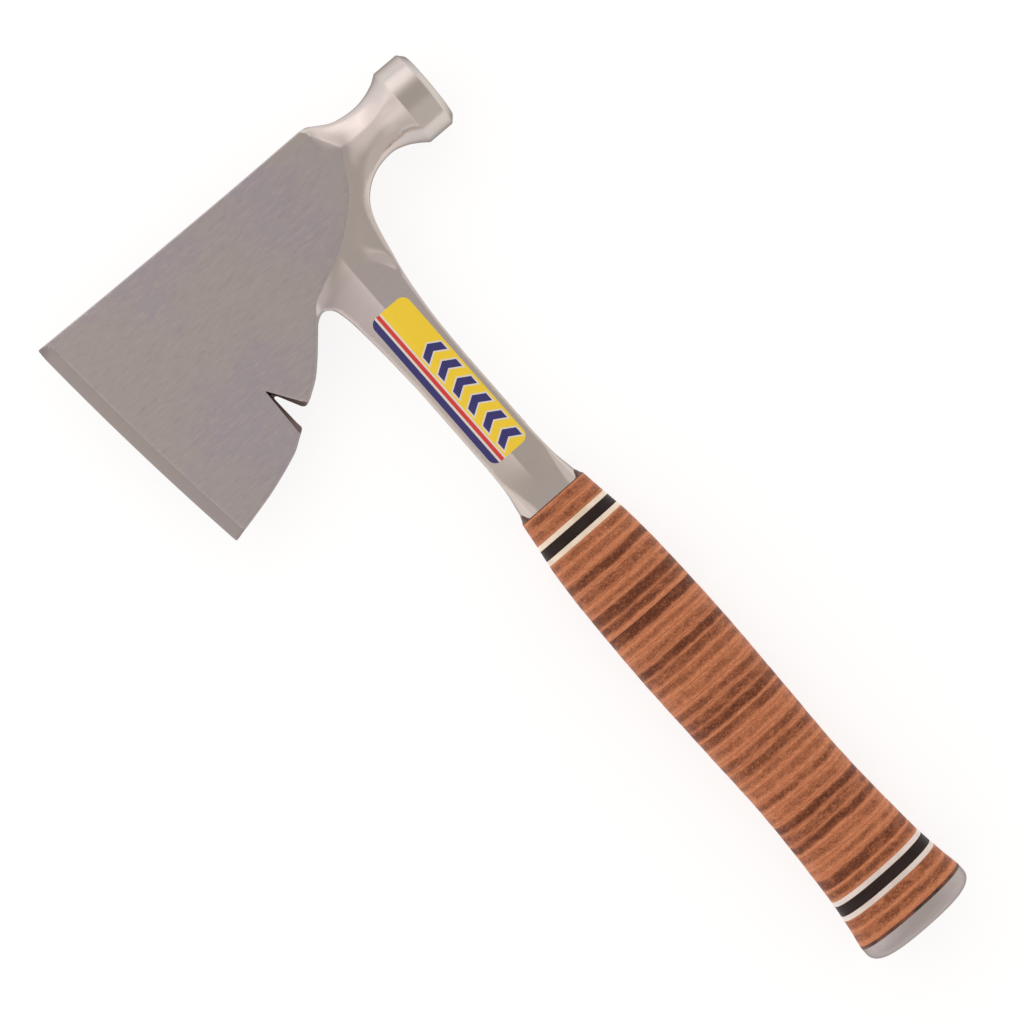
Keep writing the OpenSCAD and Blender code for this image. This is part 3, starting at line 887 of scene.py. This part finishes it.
def spacer(name, colour, shade, rough, coat=0.0, shine=0.5):
    """Plastic spacer, buffed with the leather: faint lines round the grip and a slight change of tone."""
    n = Nodes(name)
    lines = n.noise(n.mapped((60, 3200, 60), -LEAN), 1.0, 3, 0.6)
    clouds = n.noise(n.mapped(), 160.0, 3, 0.6)
    tone = n.mix(n.ramp(clouds, 0.35, 0.7), colour, shade)
    tone = n.mix(n.math("MULTIPLY", n.ramp(lines, 0.6, 0.8), 0.4), tone, shade)
    n.set(Base_Color=tone, Roughness=n.ramp(lines, 0.3, 0.7, rough - 0.05, rough + 0.08))
    n.set(Coat_Weight=coat, Coat_Roughness=0.12, Specular_IOR_Level=shine)
    n.bump(lines, 0.00002, 0.4)
    return n.material


def print_ink(name, colour):
    """Printed vinyl: even ink with a faint grain, under a soft gloss."""
    n = Nodes(name)
    speck = n.noise(n.mapped(), 4200.0, 2, 0.5)
    shade = [c * 0.93 for c in colour[:3]] + [1]
    n.set(Base_Color=n.mix(n.ramp(speck, 0.4, 0.7), colour, shade))
    n.set(Roughness=n.ramp(speck, 0.3, 0.7, 0.38, 0.46))
    n.bump(speck, 0.00001, 0.3)
    return n.material


# Which way the grain runs: along the head, or nearly along the shank
ALONG_X, ALONG_Y = 0.0, math.radians(84)
CHEEK_STEEL = steel("cheek_steel", rgb(185, 177, 177), 0.36, 0.4, ALONG_X, 3000.0, 0.06, 90.0, 0.7)
BEVEL_STEEL = steel("bevel_steel", rgb(165, 157, 155), 0.34, 0.4, ALONG_Y, 2600.0)
FORGED_STEEL = steel("polished_steel", rgb(210, 200, 194), 0.19, 0.2, ALONG_Y, 2200.0, 0.03, 60.0, 0.1)
NOTCH_STEEL = steel("scaled_steel", rgb(126, 112, 105), 0.5, 0.3, ALONG_X, 1800.0, 0.06)
POLL_STEEL = steel("turned_steel", rgb(206, 198, 194), 0.18, 0.25, math.radians(90), 2400.0, 0.04, 70.0)
CAP_STEEL = steel("cap_steel", rgb(190, 181, 177), 0.42, 0.35, ALONG_X, 2400.0, 0.04, 120.0, 0.3)

# ---------------------------------------------------------------- pieces: forging
forging = forging_mesh()
forging_steels = [CHEEK_STEEL, BEVEL_STEEL, FORGED_STEEL, NOTCH_STEEL, POLL_STEEL, CAP_STEEL]
made("forging_body", forging.verts, forging.faces, forging_steels, forging.kinds, 28, "forging")

# ---------------------------------------------------------------- pieces: grip
WASHERS = MIDDLE_WASHERS + 4
LOWER_BAND = CAP_T + END_SPACER_T + 2 * BUTT_WASHER_T
MIDDLE_FROM = LOWER_BAND + 2 * WHITE_T + BLACK_T
UPPER_BAND = GRIP_TOP - 2 * TOP_WASHER_T - 2 * WHITE_T - BLACK_T
MIDDLE_T = (UPPER_BAND - MIDDLE_FROM) / MIDDLE_WASHERS
# How dark the tanned core of each washer is; the others are pale
DARK = {
    1: 0.45, 2: 0.4, 3: 0.35, 5: 0.95, 6: 0.45, 8: 0.9, 9: 0.75, 10: 1.0, 13: 0.95, 14: 0.5, 15: 0.45,
    17: 0.55, 18: 0.6, 19: 0.85, 20: 0.65, 22: 0.55, 23: 0.55, 26: 0.5, 28: 0.95, 29: 0.5, 30: 0.85,
    33: 0.8, 34: 0.55, 35: 0.4, 36: 0.5,
}


def washer_span(i):
    """Height above the butt and thickness of washer i, counted from the top of the grip."""
    if i <= 2:
        return GRIP_TOP - i * TOP_WASHER_T, TOP_WASHER_T
    if i <= WASHERS - 2:
        return UPPER_BAND - (i - 2) * MIDDLE_T, MIDDLE_T
    return LOWER_BAND - (i - WASHERS + 2) * BUTT_WASHER_T, BUTT_WASHER_T


CREAM = spacer("cream_plastic", rgb(250, 232, 210), rgb(234, 214, 190), 0.4, 0.15)
PINKISH = spacer("pinkish_plastic", rgb(240, 226, 218), rgb(226, 210, 200), 0.4, 0.15)
EBONY = spacer("black_plastic", rgb(36, 24, 21), rgb(46, 33, 29), 0.5, shine=0.2)
FIBRE = spacer("dark_fibre", rgb(44, 28, 22), rgb(128, 74, 50), 0.5)
# Dark brown for the top washer's lips, also used as painted shade on the band round its rim under the
# bolster's foot
DARK_LIPS_AND_RIM_SHADE = spacer("dark_lips_and_rim_shade", rgb(92, 54, 38), rgb(66, 38, 27), 0.45)


for i in range(1, WASHERS + 1):
    low, thick = washer_span(i)
    name = f"leather_washer_{i:02d}"
    # Height in the row's frame, where the leather's texture is placed
    y_from = low - OVERALL_L + HEAD[1]
    material = leather(name, y_from, thick, DARK.get(i, 0.2), i)
    if i == 1:
        top_washer(low, low + thick, [material, DARK_LIPS_AND_RIM_SHADE])
    else:
        grip_piece(name, low, low + thick, material, proud=0.03 * math.sin(i * 2.4))

for i, band, white in ((1, UPPER_BAND, CREAM), (2, LOWER_BAND, PINKISH)):
    black = band + WHITE_T
    grip_piece(f"black_spacer_{i}", black, black + BLACK_T, EBONY, 0.1)
    for k, low in ((2 * i - 1, black + BLACK_T), (2 * i, band)):
        grip_piece(f"white_spacer_{k}", low, low + WHITE_T, white, 0.1)
grip_piece("end_spacer", CAP_T, CAP_T + END_SPACER_T, FIBRE, 0.12)


# ---------------------------------------------------------------- pieces: butt cap
def butt_cap():
    """A steel cap: a shallow dome with a rounded rim, countersunk for the two tenons."""
    rings = []
    for t in [0.04, 0.12, *np.linspace(0.22, 1, 15)]:
        u = math.cos(math.pi / 2 * t)
        rings.append(level(oval(*grip_form[0, 1:] * (1 - u * u) ** (1 / 6)), CAP_DOME * (1 - u)))
    for y, inset in ((CAP_T - 0.15, 0.0), (CAP_T - 0.04, 0.04), (CAP_T, 0.15)):
        rings.append(level(oval(*grip_form[0, 1:] - inset), y))
    points, faces = loop_of_rings(rings, False)
    faces += [tuple(range(ROUND)), tuple(range(len(points) - ROUND, len(points)))]
    points = grip_to_head(points)
    cap = made("butt_cap_piece", points, faces, [CAP_STEEL], replaced="butt_cap")
    sink_r, hole_r = PEEN_R + 0.25, TENON_R + 0.05
    for x in (-TENON_GAP / 2, TENON_GAP / 2):
        cut(cap, x, [(-1, sink_r), (0.35, sink_r), (1.45, hole_r), (CAP_T + 1, hole_r)])
    cap.data.set_sharp_from_angle(angle=math.radians(35))


def cut(piece, x, profile):
    """Takes a turned shape out of a piece, given as Shell.turned takes it."""
    shell = Shell()
    shell.turned(x, profile, 0)
    cutter = made("cutter", shell.verts, shell.faces, [CAP_STEEL])
    modifier = piece.modifiers.new("cut", "BOOLEAN")
    modifier.object = cutter
    modifier.solver = "EXACT"
    whole = piece.evaluated_get(bpy.context.evaluated_depsgraph_get())
    piece.data = bpy.data.meshes.new_from_object(whole)
    piece.modifiers.clear()
    bpy.data.objects.remove(cutter)


butt_cap()

# ---------------------------------------------------------------- pieces: label
# The inks, in the order that the label's mesh holds them; the ground is yellow
YELLOW, NAVY, WHITE, RED = range(4)
# Straight stripes along the label's left edge: where each ends across the label, and its ink
stripes = ((-5.3, NAVY), (-4.55, WHITE), (-3.2, RED), (-2.6, WHITE))
ROOF_AT, ROOF_HALF, ROOF_T, ROOF_SLOPE, ROOF_PITCH, ROOF_FROM, ROOFS = 2.4, 3.9, 3.1, 0.62, 7.4, -26.5, 6


def roof_shape(k, grow):
    """A plain roof-shaped bar of the label's print, grown outwards by grow."""
    base = ROOF_FROM + k * ROOF_PITCH
    w, g = ROOF_HALF + grow, grow * 1.2
    legs = [(-w, -g - ROOF_SLOPE * w), (0, -g), (w, -g - ROOF_SLOPE * w)]
    tops = [(w, ROOF_T + g - ROOF_SLOPE * w), (0, ROOF_T + g), (-w, ROOF_T + g - ROOF_SLOPE * w)]
    return np.array([(ROOF_AT + x, base + y) for x, y in legs + tops])


def rounded_box(width, length, radius, step):
    """The outline of a rounded rectangle, anticlockwise about the origin, without its last point."""
    rows = []
    for x, y, start in ((1, -1, -90), (1, 1, 0), (-1, 1, 90), (-1, -1, 180)):
        middle = np.array([x * (width / 2 - radius), y * (length / 2 - radius)])
        for a in np.radians(start + np.arange(0, 91, 10)):
            rows.append(middle + [radius * math.cos(a), radius * math.sin(a)])
    return line(rows + rows[:1], step)[:-1]


def print_lines():
    """Lines of the label where one ink meets the next."""
    margin = 0.12
    lines = []
    for x, _ in stripes:
        reach = LABEL_L / 2 - margin
        into_corner = abs(x) - (LABEL_W / 2 - LABEL_R)
        if into_corner > 0:
            reach -= LABEL_R - math.sqrt(LABEL_R**2 - into_corner**2)
        lines.append(line([(x, -reach), (x, reach)], 0.8))
    for k in range(ROOFS):
        for grow in (0.0, 0.5):
            shape = roof_shape(k, grow)
            lines.append(line([*shape, shape[0]], 0.7))
    return lines


def ink_at(centre):
    """Which ink each of the label's faces has, by its centre."""
    ink = np.full(len(centre), YELLOW)
    for x, colour in reversed(stripes):
        ink[centre[:, 0] < x] = colour
    for grow, colour in ((0.5, WHITE), (0.0, NAVY)):
        for k in range(ROOFS):
            ink[inside(centre, roof_shape(k, grow))] = colour
    return ink


def label():
    """A thin sheet that follows the shank, printed with plain stripes and roof shapes."""
    border = rounded_box(LABEL_W, LABEL_L, LABEL_R, 0.7)
    lines = print_lines()
    loose = grid((-LABEL_W / 2, -LABEL_L / 2), (LABEL_W / 2, LABEL_L / 2), 0.8)
    loose = loose[inside(loose, border)]
    loose = loose[apart(loose, np.vstack([border, *lines]), 0.3)]
    points, triangles, source = triangulated(border, lines, loose)
    flat = grip_to_head(points + [0, LABEL_Y])
    height = half_thickness(flat)
    shell = Shell([*zip(*flat.T, height + LABEL_LIFT), *zip(*flat.T, height + 0.01)])
    n = len(points)
    for triangle, colour in zip(triangles, ink_at(points[triangles].mean(1))):
        shell.face(triangle, colour)
        shell.face(triangle + n, WHITE)
    place = {s: i for i, s in enumerate(source) if 0 <= s < len(border)}
    ring = [place[i] for i in range(len(border))]
    for a, b in zip(ring, ring[1:] + ring[:1]):
        shell.face([a + n, b + n, b, a], WHITE)
    inks = [
        print_ink("yellow_ink", rgb(255, 218, 52)), print_ink("navy_ink", rgb(52, 48, 116)),
        print_ink("white_ink", rgb(236, 228, 216)), print_ink("red_ink", rgb(222, 58, 52)),
    ]
    made("label_piece", shell.verts, shell.faces, inks, shell.kinds, 60, "label")


label()

# ---------------------------------------------------------------- stage
CAMERA_FROM = 1.0
VIEW_SPAN = 0.3348
AIM = (0.00725, 0.0247)
CAMERA_TURN = math.radians(-40.3)
camera_data = bpy.data.cameras.new("camera")
camera_data.sensor_width = 36
camera_data.lens = 36 * CAMERA_FROM / VIEW_SPAN
camera = bpy.data.objects.new("camera", camera_data)
camera.location = (*AIM, HEAD[2] * MM + CAMERA_FROM)
camera.rotation_euler = (0, 0, CAMERA_TURN)
bpy.context.scene.collection.objects.link(camera)
bpy.context.scene.camera = camera


class LightNodes(Nodes):
    """The same short calls for the nodes of a light or the world, whose strength they work out."""

    def __init__(self, owner, shader, coords_node, coords_name):
        owner.use_nodes = True
        self.tree = owner.node_tree
        self.shader = self.tree.nodes[shader]
        self.coords = self.tree.nodes.new(coords_node).outputs[coords_name]


def softbox(name, place, target, size, radiance, fade=0.8):
    """A rectangular light that fades towards its borders; radiance 1 looks white."""
    data = bpy.data.lights.new(name, "AREA")
    data.shape = "RECTANGLE"
    data.size, data.size_y = size
    data.energy = radiance * math.pi * size[0] * size[1]
    data.color = (1.0, 0.985, 0.965)
    n = LightNodes(data, "Emission", "ShaderNodeNewGeometry", "Parametric")
    strength = 1.0
    for across in n.split(n.coords)[:2]:
        from_edge = n.math("SUBTRACT", 0.5, n.math("ABSOLUTE", n.math("SUBTRACT", across, 0.5)))
        strength = n.math("MULTIPLY", n.ramp(from_edge, 0.0, fade / 2), strength)
    n.set(Strength=strength)
    light = bpy.data.objects.new(name, data)
    light.location = place
    light.rotation_euler = (Vector(target) - Vector(place)).to_track_quat("-Z", "Y").to_euler()
    bpy.context.scene.collection.objects.link(light)


softbox("head_side", (0.05, 1.5, 0.75), (0, 0, 0), (2.6, 1.9), 0.55)
softbox("bit_side", (-1.5, -0.2, 0.7), (0, 0, 0), (2.4, 1.4), 0.2)

# The studio's walls: dimmest straight above, and brighter towards each side by these shares
world = bpy.data.worlds.new("world")
bpy.context.scene.world = world
n = LightNodes(world, "Background", "ShaderNodeTexCoord", "Generated")
n.set(Color=(0.955, 0.91, 0.885, 1))
x, y = n.split(n.coords)[:2]
glow = n.math("MULTIPLY_ADD", n.ramp(x, -0.08, -0.42, 0.0, 0.38), n.ramp(y, -0.45, -0.05), 0.56)
for across, near, far, share in ((x, 0.4, 0.66, 0.3), (y, -0.24, -0.55, 0.17), (y, 0.28, 0.62, 0.32)):
    glow = n.math("ADD", n.ramp(across, near, far, 0.0, share), glow)
n.set(Strength=glow)
bpy.context.scene.view_settings.view_transform = "Standard"

FLOOR = 20.0
corners = [(-FLOOR, -FLOOR, 0), (FLOOR, -FLOOR, 0), (FLOOR, FLOOR, 0), (-FLOOR, FLOOR, 0)]
floor_mesh = bpy.data.meshes.new("floor")
floor_mesh.from_pydata(corners, [], [(0, 1, 2, 3)])
floor = bpy.data.objects.new("floor", floor_mesh)
bpy.context.scene.collection.objects.link(floor)
paper = Nodes("white_paper")
paper.set(Base_Color=(0.3, 0.3, 0.3, 1), Roughness=0.9, Emission_Color=(1, 1, 1, 1), Emission_Strength=0.78)
paper.set(Specular_IOR_Level=0.1)
floor_mesh.materials.append(paper.material)
